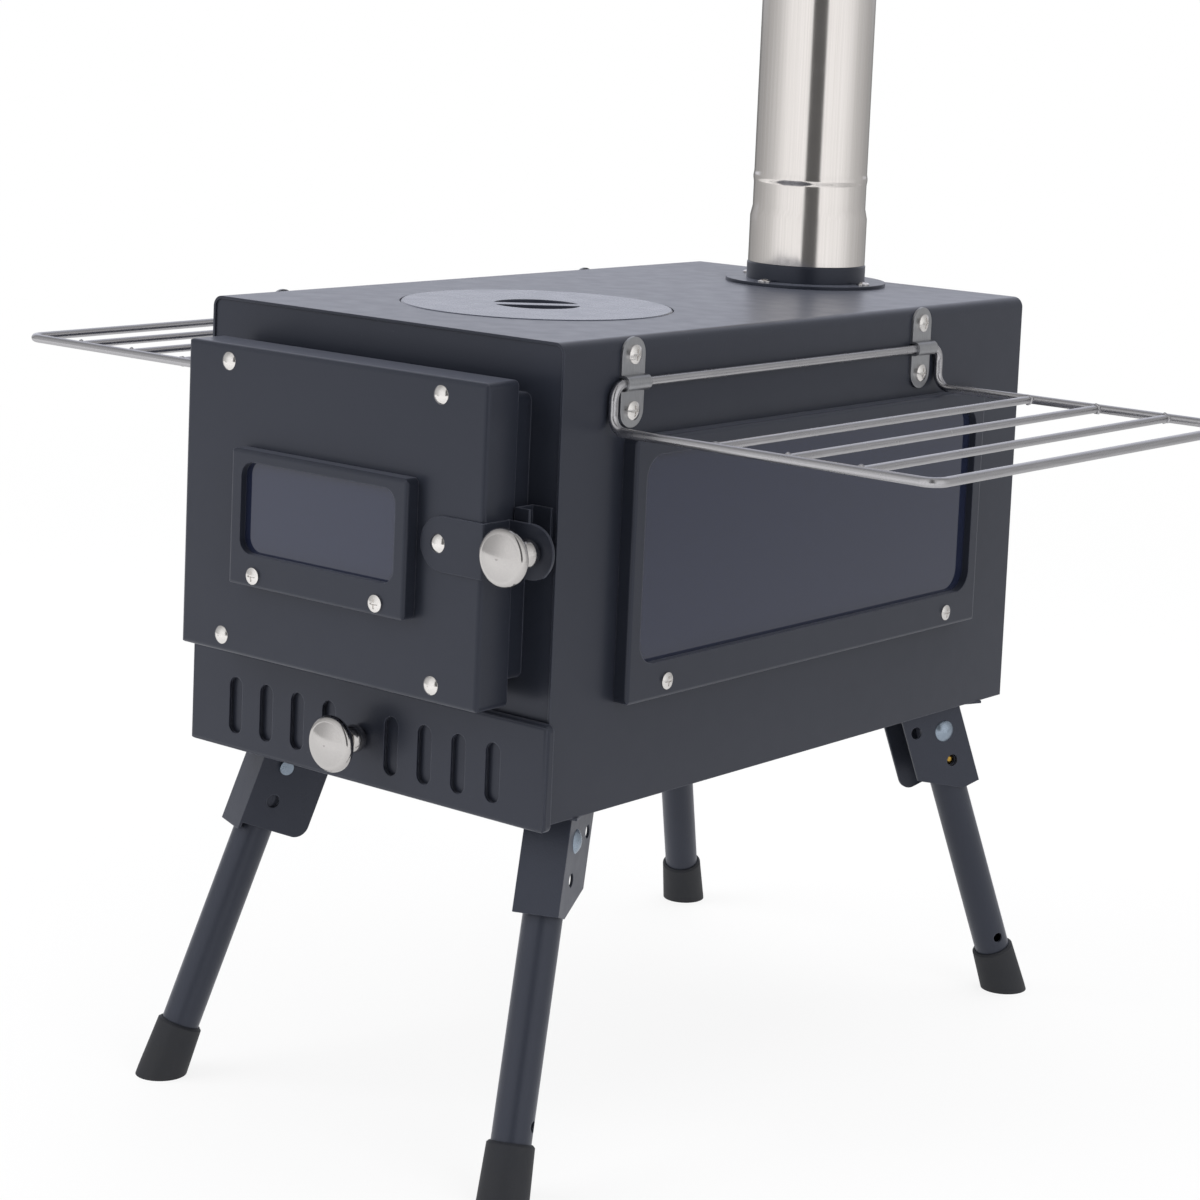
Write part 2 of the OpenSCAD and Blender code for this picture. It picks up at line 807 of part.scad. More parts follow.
// Latch knob: its shaft turns in the strap's tab
module latch_knob()
    color(bright_steel) standing() {
        on_shaft(latch_stand + rest_gap) knob(shaft_r, latch_stand + rest_gap - tongue_y);
        on_shaft(tongue_y + tongue_t)
            cylinder(h = latch_stand - sheet - rest_gap - tongue_y - tongue_t, r = boss_r);
    }

// Latch tongue: hangs down while the door is free, and turns behind the keeper's lip
module latch_tongue()
    color(black_paint) standing() on_shaft(tongue_y) difference() {
        linear_extrude(tongue_t) {
            circle(boss_r);
            translate([0, (tongue_w / 2 - tongue_l) / 2])
                square([tongue_w, tongue_l - tongue_w / 2], center = true);
            translate([0, tongue_w / 2 - tongue_l]) circle(tongue_w / 2);
        }
        translate([0, 0, -over]) cylinder(h = tongue_t + 2 * over, r = shaft_r);
    }

// Ash tray: an open box that slides on the base panel
module ash_tray() {
    tray_w = inner_w - 2 * (sheet + tray_side_gap);
    tray_y = sheet - drawer_proud;
    tray_d = body_d - tray_end_in - tray_y;
    tray_z = sheet + rest_gap;
    color(black_paint) standing() difference() {
        translate([-tray_w / 2, tray_y, tray_z]) cube([tray_w, tray_d, tray_top - tray_z]);
        translate([tray_t - tray_w / 2, tray_y + tray_t, tray_z + tray_t])
            cube([tray_w - 2 * tray_t, tray_d - 2 * tray_t, tray_top]);
        seen_front(tray_y - over, tray_t + 2 * over) air_slots();
        translate([0, tray_y - over, drawer_knob_z]) rotate([-90, 0, 0])
            cylinder(h = tray_t + 2 * over, r = stud_r);
    }
}

// Drawer front: a shallow pan with air slots
module drawer_front()
    color(black_paint) standing() difference() {
        translate([0, -drawer_gap, drawer_h / 2 - drawer_hang]) rotate([90, 0, 0])
            pan(drawer_w, drawer_h, drawer_proud - drawer_gap, drawer_r, drawer_fold);
        seen_front(-drawer_proud - over, sheet + 2 * over) air_slots();
        translate([0, -drawer_proud - over, drawer_knob_z]) rotate([-90, 0, 0])
            cylinder(h = sheet + 2 * over, r = stud_r);
    }

module drawer_knob()
    color(bright_steel) standing() translate([0, -drawer_proud, drawer_knob_z])
        rotate([90, 0, 0]) knob(stud_r, sheet + tray_t);

// Side window: frame, glass and the two screws of the frame
module side_window_frame(side)
    color(black_paint) standing() on_side(side) on_side_window() difference() {
        window_frame(side_open_l, side_open_h, side_border, side_top, side_foot,
            side_proud, side_corner);
        at_side_screws(side_proud - sheet - over) cylinder(h = sheet + 2 * over, r = screw_shank_r);
    }

module side_glass(side)
    color(dark_glass) standing() on_side(side) on_side_window() linear_extrude(glass_t)
        round_rect(side_open_l + 2 * glass_grip, side_open_h + 2 * glass_grip, side_corner);

module side_window_screws(side)
    color(bright_steel) standing() on_side(side) on_side_window() at_side_screws(side_proud)
        screw(screw_r, screw_h, side_proud + sheet);

// Rack clips: two plates whose saddles hold the pivot rod against the firebox
module rack_clips(side) {
    seat = rack_x - half_w;
    color(black_paint) standing() on_side(side) at_clips() difference() {
        intersection() {
            seen_front(-clip_w / 2, clip_w) {
                translate([half_w, -clip_h / 2]) square([sheet, clip_h]);
                translate([half_w, -saddle_r - sheet]) square([seat, 2 * (saddle_r + sheet)]);
                translate([rack_x, 0]) circle(saddle_r + sheet);
            }
            seen_side(half_w, seat + saddle_r + sheet + over) slot(clip_w, clip_h);
        }
        translate([rack_x, -clip_w / 2 - over, 0]) rotate([-90, 0, 0])
            cylinder(h = clip_w + 2 * over, r = saddle_r);
        translate([half_w - over, -clip_w / 2 - over, -saddle_r])
            cube([seat + over, clip_w + 2 * over, 2 * saddle_r]);
        for (z = [-1, 1]) translate([half_w - over, 0, z * clip_screw_up]) rotate([0, 90, 0])
            cylinder(h = sheet + 2 * over, r = screw_shank_r);
    }
}

module rack_clip_screws(side)
    color(bright_steel) standing() on_side(side) at_clip_screws(half_w + sheet)
        screw(clip_screw_r, clip_screw_h, 2 * sheet);

// A straight rod from a to b
module rod(a, b, r) {
    d = b - a;
    translate(a) rotate([0, acos(d[2] / norm(d)), atan2(d[1], d[0])])
        cylinder(h = norm(d), r = r);
}

// A quarter bend at a corner, between the unit directions away from it
module elbow(corner, away, onward, bend, r) {
    c = corner + bend * (away + onward);
    z = cross(onward, away);
    multmatrix([
        [-onward[0], -away[0], z[0], c[0]],
        [-onward[1], -away[1], z[1], c[1]],
        [-onward[2], -away[2], z[2], c[2]]
    ]) rotate_extrude(angle = 90) translate([bend, 0]) circle(r);
}

// A closed loop of rod whose corners are right angles
module rod_loop(points, bend, r) {
    n = len(points);
    for (i = [0 : n - 1]) {
        a = points[i];
        b = points[(i + 1) % n];
        c = points[(i + 2) % n];
        u = (b - a) / norm(b - a);
        v = (c - b) / norm(c - b);
        rod(a + bend * u, b - bend * u, r);
        elbow(b, -u, v, bend, r);
    }
}

// Side rack: one bent rod whose inner side is the pivot, with welded cross bars
module rack(side) {
    near = rack_mid - rack_l / 2;
    far = rack_mid + rack_l / 2;
    rail_x = rack_x + rack_reach;
    color(bright_steel) standing() on_side(side) {
        rod_loop([
            [rack_x, near, rack_z], [rack_x, near, arm_z], [rail_x, near, arm_z],
            [rail_x, far, arm_z], [rack_x, far, arm_z], [rack_x, far, rack_z]
        ], rack_bend, rod_r);
        for (i = [1 : bar_count])
            rod([rail_x - i * rack_pitch, near, arm_z], [rail_x - i * rack_pitch, far, arm_z], bar_r);
    }
}

// Cooking lid: lies in the shell's well, with a bar across its lifting hole
module cook_lid() {
    r = lid_d / 2;
    color(black_paint) standing() translate([0, lid_y, body_h + lid_proud - lid_t]) {
        difference() {
            rotate_extrude() polygon([
                [0, 0], [r, 0], [r, lid_t - lid_edge], [r - lid_edge, lid_t], [0, lid_t]
            ]);
            translate([0, 0, -over]) cylinder(h = lid_t + 2 * over, r = lid_hole_d / 2);
        }
        rotate([0, 0, lid_turn]) translate([-lid_hole_d / 2 - over, -lid_bar / 2, 0])
            cube([lid_hole_d + 2 * over, lid_bar, lid_t]);
    }
}

// Radii of the flue: the pipe's socket, the spigot inside it and the bore of both
function socket_r() = pipe_r + socket_step;
function spigot_r() = socket_r() - pipe_t - spigot_gap;
function flue_bore_r() = spigot_r() - sheet;

// Flue collar: flange, black ring and the spigot that the pipe slips over
module flue_collar()
    color(black_paint) standing() difference() {
        translate([0, flue_y, body_h]) {
            cylinder(h = flange_t, r = flange_d / 2);
            cylinder(h = collar_h, r = socket_r() + ring_proud);
            cylinder(h = collar_h + spigot_l, r = spigot_r());
        }
        translate([0, flue_y, body_h - over])
            cylinder(h = collar_h + spigot_l + 2 * over, r = flue_bore_r());
        at_flue_screws(body_h - over) cylinder(h = flange_t + 2 * over, r = screw_shank_r);
    }

module flue_collar_screws()
    color(bright_steel) standing() at_flue_screws(body_h + flange_t)
        screw(flue_screw_r, screw_h, flange_t + sheet);

// Flue pipe: a socket at the foot, a taper, a rolled bead and a plain upper end
module flue_pipe() {
    s = socket_r();
    color(pipe_steel) standing() translate([0, flue_y, body_h + collar_h])
        rotate_extrude($fn = 96) difference() {
            union() {
                polygon([
                    [s - pipe_t, 0], [s, 0], [s, socket_l], [pipe_r, socket_l + taper_l],
                    [pipe_r, pipe_l], [pipe_r - pipe_t, pipe_l],
                    [pipe_r - pipe_t, socket_l + taper_l], [s - pipe_t, socket_l]
                ]);
                translate([pipe_r - pipe_t, bead_up]) circle(bead_r);
            }
            translate([pipe_r - pipe_t - bead_r, bead_up - bead_r]) square([bead_r, 2 * bead_r]);
            translate([pipe_r - pipe_t, bead_up]) circle(bead_r - pipe_t);
        }
}

// Everything of the front right corner above the level z of the firebox frame
module cut_above(z)
    translate([0, -body_d / 2, z]) cube([body_w, body_d, body_h]);

// The outline of a bracket's flank in the leg's own frame: x is inward, y is up
module inner_flank() difference() {
    translate([-web_y, -inner_flank_l]) square([web_y + flank_y, inner_flank_l + 2 * pivot_drop]);
    translate([flank_y - flank_corner, -inner_flank_l - over])
        difference() {
            square([flank_corner + over, flank_corner + over]);
            translate([0, flank_corner + over]) circle(flank_corner);
        }
}

module outer_flank() polygon([
    [-web_y, -web_l], [flank_corner - leg_r, -web_l], [flank_y, -outer_flank_l],
    [flank_y, 2 * pivot_drop], [-web_y, 2 * pivot_drop]
]);

// Leg bracket: a channel that leans with the leg, hung from a plate under the firebox
module leg_bracket(side, end)
    color(black_paint) standing() at_corner(side, end) difference() {
        union() {
            difference() {
                on_leg() {
                    translate([-flank_x - sheet, 0, 0]) seen_side(0, sheet) inner_flank();
                    translate([flank_x, 0, 0]) seen_side(0, sheet) outer_flank();
                    translate([-flank_x - sheet, -web_y, -web_l])
                        cube([2 * (flank_x + sheet), sheet, web_l + 2 * pivot_drop]);
                    translate([-flank_x - sheet, -web_y, -web_l])
                        cube([2 * (flank_x + sheet), web_y - leg_r - rest_gap, lip_h]);
                }
                cut_above(0);
            }
            translate([leg_x, leg_y, -sheet]) rotate([0, 0, splay])
                translate([-flank_x - sheet - ear_w, -web_y - plate_out, 0])
                    cube([2 * (flank_x + sheet + ear_w), web_y + flank_y + plate_out, sheet]);
        }
        on_leg() {
            translate([-flank_x - sheet - over, 0, 0]) rotate([0, 90, 0])
                cylinder(h = 2 * (flank_x + sheet + over), r = pivot_r);
            translate([-flank_x - sheet - over, 0, -pin_drop]) rotate([0, 90, 0])
                cylinder(h = 2 * (flank_x + sheet + over), r = pin_hole_r);
            rotate([lean, 0, 0]) translate([0, pin_drop, 0]) rotate([0, 90, 0])
                cylinder(h = flank_x + sheet + over, r = pin_hole_r);
        }
    }

// Leg pivot bolts: a low domed head outside and a peened end inside
module leg_pivot_bolts() {
    reach = flank_x + sheet;
    color(zinc) standing()
        for (side = [left, right], end = [front, back]) at_corner(side, end) on_leg() {
            translate([reach, 0, 0]) rotate([0, 90, 0]) dome(pivot_head_r, pivot_head_h);
            translate([-reach, 0, 0]) rotate([0, 90, 0]) cylinder(h = 2 * reach, r = pivot_r);
            translate([-reach - pivot_tail_h, 0, 0]) rotate([0, 90, 0])
                cylinder(h = pivot_tail_h, r = pivot_tail_r);
        }
}

// Leg tube: its top is rounded about the pivot
module leg_tube(side, end) {
    tube_l = leg_l - foot_sole;
    color(black_paint) standing() at_corner(side, end) on_leg() difference() {
        union() {
            translate([0, 0, -tube_l]) cylinder(h = tube_l, r = leg_r);
            intersection() {
                cylinder(h = leg_r, r = leg_r);
                translate([-leg_r, 0, 0]) rotate([0, 90, 0]) cylinder(h = leg_d, r = leg_r);
            }
        }
        translate([0, 0, -tube_l - over])
            cylinder(h = tube_l + over - leg_r, r = leg_r - leg_wall);
        translate([-leg_r - over, 0, 0]) rotate([0, 90, 0])
            cylinder(h = leg_d + 2 * over, r = pivot_r + fit);
        translate([0, 0, -pin_drop]) rotate([0, 90, 0]) cylinder(h = leg_d, r = pin_r + fit);
        translate([0, 0, foot_l + leg_hole_up - leg_l]) rotate([0, 90, 0])
            cylinder(h = leg_d, r = leg_hole_r);
    }
}

// Foot cap: pushed on the tube and cut flat on the ground
module foot_cap(side, end)
    color(rubber) standing() at_corner(side, end) difference() {
        on_leg() difference() {
            translate([0, 0, -leg_l - foot_sole]) rotate_extrude() polygon([
                [0, 0], [foot_r + foot_flare, 0], [foot_r + foot_flare, foot_sole],
                [foot_r, foot_sole + foot_l - foot_edge],
                [foot_r - foot_edge, foot_sole + foot_l], [0, foot_sole + foot_l]
            ]);
            translate([0, 0, foot_sole - leg_l]) cylinder(h = foot_l, r = leg_r);
        }
        translate([0, -body_d / 2, -stand_h - body_h]) cube([body_w, body_d, body_h]);
    }

// Lock pin: a spring button in the leg, drawn pressed in, just behind the bracket's hole
module lock_pin(side, end)
    color(brass) standing() at_corner(side, end) on_leg()
        translate([0, 0, -pin_drop]) rotate([0, 90, 0]) {
            inner_x = leg_r - pin_l;
            translate([0, 0, inner_x]) cylinder(h = pin_l - pin_dome_h, r = pin_r);
            translate([0, 0, inner_x]) cylinder(h = pin_head_t, r = pin_collar_r);
            translate([0, 0, leg_r - pin_dome_h]) dome(pin_r, pin_dome_h);
        }

firebox_shell();
front_panel();
back_panel();
base_panel();
fire_grate();
grate_rails();
latch_keeper();
hinge_leaves_body();
hinge_pins();
side_window_frame(left);  // side_window_frame_left
side_window_frame(right);  // side_window_frame_right
side_glass(left);  // side_glass_left
side_glass(right);  // side_glass_right
side_window_screws(left);  // side_window_screws_left
side_window_screws(right);  // side_window_screws_right
rack_clips(left);  // rack_clips_left
rack_clips(right);  // rack_clips_right
rack_clip_screws(left);  // rack_clip_screws_left
rack_clip_screws(right);  // rack_clip_screws_right
flue_collar();
flue_collar_screws();
leg_bracket(left, front);  // leg_bracket_front_left
leg_bracket(right, front);  // leg_bracket_front_right
leg_bracket(left, back);  // leg_bracket_back_left
leg_bracket(right, back);  // leg_bracket_back_right
leg_pivot_bolts();
door_panel();
door_liner();
door_window_frame();
door_glass();
door_window_screws();
door_rivets();
hinge_leaves_door();
latch_strap();
latch_strap_rivet();
latch_knob();
latch_tongue();
ash_tray();
drawer_front();
drawer_knob();
cook_lid();
flue_pipe();
rack(left);  // rack_left
rack(right);  // rack_right
leg_tube(left, front);  // leg_tube_front_left
leg_tube(right, front);  // leg_tube_front_right
leg_tube(left, back);  // leg_tube_back_left
leg_tube(right, back);  // leg_tube_back_right
foot_cap(left, front);  // foot_cap_front_left
foot_cap(right, front);  // foot_cap_front_right
foot_cap(left, back);  // foot_cap_back_left
foot_cap(right, back);  // foot_cap_back_right
lock_pin(left, front);  // lock_pin_front_left
lock_pin(right, front);  // lock_pin_front_right
lock_pin(left, back);  // lock_pin_back_left
lock_pin(right, back);  // lock_pin_back_right
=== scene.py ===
import math

import bpy
from mathutils import Matrix, Vector


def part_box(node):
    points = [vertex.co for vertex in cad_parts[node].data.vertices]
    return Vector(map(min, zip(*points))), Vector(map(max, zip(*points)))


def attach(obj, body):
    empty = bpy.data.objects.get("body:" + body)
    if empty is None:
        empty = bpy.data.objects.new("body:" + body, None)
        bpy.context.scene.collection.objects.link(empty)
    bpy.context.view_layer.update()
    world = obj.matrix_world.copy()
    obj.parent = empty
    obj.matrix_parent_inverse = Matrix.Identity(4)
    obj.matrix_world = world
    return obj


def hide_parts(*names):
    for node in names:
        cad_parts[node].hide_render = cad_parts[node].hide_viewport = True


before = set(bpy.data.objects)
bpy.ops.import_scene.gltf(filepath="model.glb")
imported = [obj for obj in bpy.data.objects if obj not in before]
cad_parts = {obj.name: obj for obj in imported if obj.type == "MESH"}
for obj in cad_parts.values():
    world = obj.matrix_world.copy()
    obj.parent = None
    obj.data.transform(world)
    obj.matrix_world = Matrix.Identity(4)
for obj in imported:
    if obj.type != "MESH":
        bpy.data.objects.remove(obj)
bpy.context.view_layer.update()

print("stage 1: the packed stove is loaded,", len(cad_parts), "parts")


# Places in the frame that several pieces are measured from, in metres

baseHeight = 0.19        # underside of the firebox above the floor
frontToMiddle = 0.21074  # front sheet of the firebox to the middle of the frame


# Small helpers used by every stage

def toLinear(code):  # sRGB hex to linear RGBA
    parts = [int(code[i:i + 2], 16) / 255 for i in (1, 3, 5)]
    return tuple(c / 12.92 if c <= 0.04045 else ((c + 0.055) / 1.055) ** 2.4 for c in parts) + (1.0,)


def grey(value):
    return (value, value, value, 1.0)


def perMetre(mm):  # noise scale that gives features of this size
    return 1000.0 / mm


def deselectAll():
    bpy.ops.object.select_all(action="DESELECT")


def joinAll(pieces):
    deselectAll()
    for piece in pieces:
        piece.select_set(True)
    bpy.context.view_layer.objects.active = pieces[0]
    bpy.ops.object.join()
    return bpy.context.object


def originToMiddle():  # the active piece's origin goes to the frame's, and its shape stays
    bpy.context.scene.cursor.location = (0, 0, 0)
    bpy.ops.object.origin_set(type="ORIGIN_CURSOR")


# Helpers for materials and surround

def addNode(tree, kind, settings=None, links=None):
    node = tree.nodes.new(kind)
    for key, value in (settings or {}).items():
        if isinstance(key, str) and key in node.bl_rna.properties:
            setattr(node, key, value)
        else:
            node.inputs[key].default_value = value
    for key, source in (links or {}).items():
        tree.links.new(source, node.inputs[key])
    return node


def remap(tree, value, source, target=(0.0, 1.0), shape="LINEAR"):  # carries one span onto another
    node = addNode(tree, "ShaderNodeMapRange", {
        "interpolation_type": shape, "From Min": source[0], "From Max": source[1],
        "To Min": target[0], "To Max": target[1]}, {"Value": value})
    return node.outputs[0]


def blend(tree, factor, under, over):  # each colour is a hex code or a node's output
    settings = {"data_type": "RGBA"}
    links = {0: factor}
    for socket, colour in ((6, under), (7, over)):
        if isinstance(colour, str):
            settings[socket] = toLinear(colour)
        else:
            links[socket] = colour
    return addNode(tree, "ShaderNodeMix", settings, links).outputs[2]


def noise(tree, place, mm, detail):  # features of about this size
    node = addNode(tree, "ShaderNodeTexNoise", {"Scale": perMetre(mm), "Detail": detail},
                   {"Vector": place})
    return node.outputs["Fac"]


def softEdge(tree, mm):  # the normal of an edge rounded by this radius
    node = addNode(tree, "ShaderNodeBevel", {"samples": 4, "Radius": mm / 1000})
    return node.outputs["Normal"]


def bump(tree, height, distance, normal=None):
    links = {"Height": height}
    if normal:
        links["Normal"] = normal
    node = addNode(tree, "ShaderNodeBump", {"Strength": 1.0, "Distance": distance}, links)
    return node.outputs["Normal"]


def either(tree, first, second):  # 1 where one of two ray tests is 1
    node = addNode(tree, "ShaderNodeMath", {"operation": "ADD", "use_clamp": True},
                   {0: first, 1: second})
    return node.outputs[0]


def setRamp(node, stops):  # stops are (position, grey value or hex code)
    ramp = node.color_ramp
    while len(ramp.elements) < len(stops):
        ramp.elements.new(0.5)
    for element, (place, colour) in zip(ramp.elements, stops):
        element.position = place
        element.color = toLinear(colour) if isinstance(colour, str) else grey(colour)


def newMaterial(name):
    material = bpy.data.materials.new(name)
    material.use_nodes = True
    tree = material.node_tree
    tree.nodes.clear()
    place = addNode(tree, "ShaderNodeTexCoord").outputs["Object"]
    return material, tree, place


def endMaterial(tree, settings, links):
    shader = addNode(tree, "ShaderNodeBsdfPrincipled", settings, links)
    addNode(tree, "ShaderNodeOutputMaterial", {}, {"Surface": shader.outputs[0]})


def dress(names, material):  # a CAD part keeps its mesh and takes a better finish
    for name in names:
        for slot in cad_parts[name].material_slots:
            slot.material = material


# Camera: the photograph's view, from the fitted lens and place

cameraView = {
    "place": (1.0586, -1.33884, 0.6085),
    "azimuthDeg": 39.77,
    "elevationDeg": 6.428,
    "rollDeg": 2.347,
    "lensMm": 89.84,
    "sensorMm": 36.0,
    "shift": (0.0351, -0.2298),
    "clip": (0.05, 60),
}


def makeCamera(view):
    azimuth = math.radians(view["azimuthDeg"])
    elevation = math.radians(view["elevationDeg"])
    roll = math.radians(view["rollDeg"])
    back = Vector((math.sin(azimuth) * math.cos(elevation),
                   -math.cos(azimuth) * math.cos(elevation), math.sin(elevation)))
    right = (-back).cross(Vector((0, 0, 1))).normalized()
    up = right.cross(-back)
    rolledRight = math.cos(roll) * right + math.sin(roll) * up
    rolledUp = -math.sin(roll) * right + math.cos(roll) * up
    data = bpy.data.cameras.new("viewCamera")
    data.lens = view["lensMm"]
    data.sensor_width = view["sensorMm"]
    data.sensor_fit = "HORIZONTAL"
    data.shift_x, data.shift_y = view["shift"]
    data.clip_start, data.clip_end = view["clip"]
    camera = bpy.data.objects.new("viewCamera", data)
    turn = Matrix((rolledRight, rolledUp, back)).transposed().to_4x4()
    camera.matrix_world = Matrix.Translation(view["place"]) @ turn
    bpy.context.scene.collection.objects.link(camera)
    bpy.context.scene.camera = camera


makeCamera(cameraView)
print("stage 2: camera")


# Studio: pale sweep, soft boxes and a white surround

studio = {
    "floorRadius": 2.6, "floorSides": 96,
    "floorColour": "#e9e9ea",
    "floorLift": 0.84,          # share of plain white that the camera sees in the floor,
    "liftFrom": 0.7,            # which grows from this far out, in metres,
    "liftTo": 0.97,             # to all white at this share of the floor's radius
    "floorGloss": (0.50, 1.0),  # how brightly paint and metal mirror the floor: behind, in front
    "glossReach": 0.9,          # from this far behind the middle to this far in front
    "surroundDiffuse": 0.66,
    "boxes": [  # name, place, size, watts
        ("softBoxLeft", (-2.1, -2.4, 2.0), (2.6, 2.4), 84),
        ("softBoxRight", (3.0, -0.6, 1.9), (2.2, 2.2), 40),
        ("softBoxOver", (0.0, 0.9, 2.8), (2.4, 2.0), 34),
    ],
    "aim": (0.0, 0.0, 0.36),
    # what gloss mirrors around the stove, from straight behind it (0) to the photographer (1):
    # white cloth beside, dimmer towards the back, and a dark gap where the photographer stands
    "walls": [(0.0, 0.14), (0.06, 0.34), (0.19, 0.40), (0.50, 0.60), (0.75, 0.94),
              (0.980, 1.0), (0.986, 0.13), (1.0, 0.11)],
    # above the horizon the backdrop is lit evenly and a little cooler
    "backdrop": [(0.0, "#eff1fb"), (0.07, "#eff1fb"), (0.21, 0.44), (0.50, 0.60), (0.75, 0.94),
                 (0.980, 1.0), (0.986, 0.13), (1.0, 0.11)],
    "horizon": (0.0, 0.06),     # where the walls pass into the backdrop
    "height": [(0.0, 1.0), (0.35, 0.95), (1.0, 0.55)],  # dimmer overhead
}


def makeFloor(look):
    deselectAll()
    bpy.ops.mesh.primitive_circle_add(vertices=look["floorSides"], radius=look["floorRadius"],
                                      fill_type="NGON")
    floor = bpy.context.object
    floor.name = "studioFloor"
    material, tree, place = newMaterial("matt studio paper")  # pale, even, no gloss
    rays = addNode(tree, "ShaderNodeLightPath").outputs
    reach = addNode(tree, "ShaderNodeVectorMath", {"operation": "LENGTH"}, {0: place})
    fade = remap(tree, reach.outputs["Value"], (look["liftFrom"], look["floorRadius"] * look["liftTo"]),
                 (look["floorLift"], 1.0), "SMOOTHSTEP")
    seen = either(tree, rays["Is Camera Ray"], rays["Is Glossy Ray"])
    seen = either(tree, seen, rays["Is Transmission Ray"])
    share = addNode(tree, "ShaderNodeMath", {"operation": "MULTIPLY"}, {0: fade, 1: seen})
    paper = addNode(tree, "ShaderNodeBsdfDiffuse", {"Color": toLinear(look["floorColour"])})
    apart = addNode(tree, "ShaderNodeSeparateXYZ", {}, {0: place})
    gloss = remap(tree, apart.outputs["Y"], (look["glossReach"], -look["glossReach"]),
                  look["floorGloss"])
    mirror = addNode(tree, "ShaderNodeMath", {"operation": "MAXIMUM"},
                     {0: gloss, 1: rays["Is Camera Ray"]})
    white = addNode(tree, "ShaderNodeEmission", {"Color": grey(1.0)}, {"Strength": mirror.outputs[0]})
    both = addNode(tree, "ShaderNodeMixShader", {}, {
        0: share.outputs[0], 1: paper.outputs[0], 2: white.outputs[0]})
    addNode(tree, "ShaderNodeOutputMaterial", {}, {"Surface": both.outputs[0]})
    floor.data.materials.append(material)


def makeLamps(look):
    for name, place, size, watts in look["boxes"]:
        data = bpy.data.lights.new(name, "AREA")
        data.shape = "RECTANGLE"
        data.size, data.size_y = size
        data.energy = watts
        lamp = bpy.data.objects.new(name, data)
        lamp.location = place
        lamp.visible_glossy = False  # bare metal mirrors the cloth around, and not hard lamp edges
        towards = Vector(look["aim"]) - Vector(place)
        lamp.rotation_euler = towards.to_track_quat("-Z", "Y").to_euler()
        bpy.context.scene.collection.objects.link(lamp)


def makeSurround(look, view):
    world = bpy.data.worlds.new("studioSurround")
    world.use_nodes = True
    tree = world.node_tree
    tree.nodes.clear()
    rays = addNode(tree, "ShaderNodeLightPath").outputs
    place = addNode(tree, "ShaderNodeTexCoord").outputs["Generated"]
    flat = addNode(tree, "ShaderNodeVectorMath", {"operation": "MULTIPLY", 1: (1, 1, 0)}, {0: place})
    level = addNode(tree, "ShaderNodeVectorMath", {"operation": "NORMALIZE"},
                    {0: flat.outputs["Vector"]})
    azimuth = math.radians(view["azimuthDeg"])
    facing = addNode(tree, "ShaderNodeVectorMath", {
        "operation": "DOT_PRODUCT", 1: (math.sin(azimuth), -math.cos(azimuth), 0)},
        {0: level.outputs["Vector"]})
    around = remap(tree, facing.outputs["Value"], (-1.0, 1.0))
    walls = addNode(tree, "ShaderNodeValToRGB", {}, {"Fac": around})
    setRamp(walls, look["walls"])
    backdrop = addNode(tree, "ShaderNodeValToRGB", {}, {"Fac": around})
    setRamp(backdrop, look["backdrop"])
    rise = addNode(tree, "ShaderNodeSeparateXYZ", {}, {0: place}).outputs["Z"]
    cloth = blend(tree, remap(tree, rise, look["horizon"]), walls.outputs["Color"],
                  backdrop.outputs["Color"])
    height = addNode(tree, "ShaderNodeValToRGB", {}, {"Fac": rise})
    setRamp(height, look["height"])
    mirrored = addNode(tree, "ShaderNodeMix", {"data_type": "RGBA", "blend_type": "MULTIPLY", 0: 1.0},
                       {6: cloth, 7: height.outputs["Color"]})
    inGloss = addNode(tree, "ShaderNodeBackground", {"Strength": 1.0}, {"Color": mirrored.outputs[2]})
    plain = addNode(tree, "ShaderNodeBackground", {"Color": grey(1.0), "Strength": 1.0})
    light = addNode(tree, "ShaderNodeBackground",
                    {"Color": grey(1.0), "Strength": look["surroundDiffuse"]})
    glossOrClear = either(tree, rays["Is Glossy Ray"], rays["Is Transmission Ray"])
    first = addNode(tree, "ShaderNodeMixShader", {}, {
        0: glossOrClear, 1: light.outputs[0], 2: inGloss.outputs[0]})
    second = addNode(tree, "ShaderNodeMixShader", {}, {
        0: rays["Is Camera Ray"], 1: first.outputs[0], 2: plain.outputs[0]})
    addNode(tree, "ShaderNodeOutputWorld", {}, {"Surface": second.outputs[0]})
    bpy.context.scene.world = world


makeFloor(studio)
makeLamps(studio)
makeSurround(studio, cameraView)
bpy.context.scene.view_settings.view_transform = "Standard"
print("stage 3: floor, soft boxes and surround")


# Finishes

noiseSpan = (0.3, 0.7)  # the values that a noise mostly takes

stovePaint = {  # silicone stove enamel sprayed on steel sheet: near black, satin, a faint orange peel
    "colour": "#171a22", "patch": "#1c1f27", "patchMm": 90,
    "ior": 1.5, "gloss": "#d3d8ee", "roughness": (0.34, 0.40), "clothMm": 14,
    "coat": 0.2, "coatRoughness": 0.25, "sheen": 0.14, "sheenRoughness": 0.45,
    "peelMm": 1.3, "peelHeight": 0.000022,
    "waveMm": 130, "waveHeight": 0.00012,
    "dust": "#3c3e45", "dustMm": 2.2, "dustFrom": 0.80, "dustSpan": 0.04, "dustShare": 0.5,
    # the lighter edge colour is partly wear and partly a painted highlight on the folds
    "edgeMm": 0.9, "edgeWearAndHighlightColour": "#565963", "edgeBend": (0.97, 0.80), "edgeWearAndHighlightShare": 0.4,
}

# the lid is rubbed smooth by pots, and painted lighter: a painted glare, standing in for the reflection
# that brightens the top around it
lidPaintWithGlare = dict(stovePaint, colour="#2c2f39", patch="#333641", roughness=(0.24, 0.30),
                coat=0.3, peelHeight=0.000010)

# the inside is duller
innerPaint = dict(stovePaint, colour="#12141a", patch="#181a20", roughness=(0.5, 0.62))

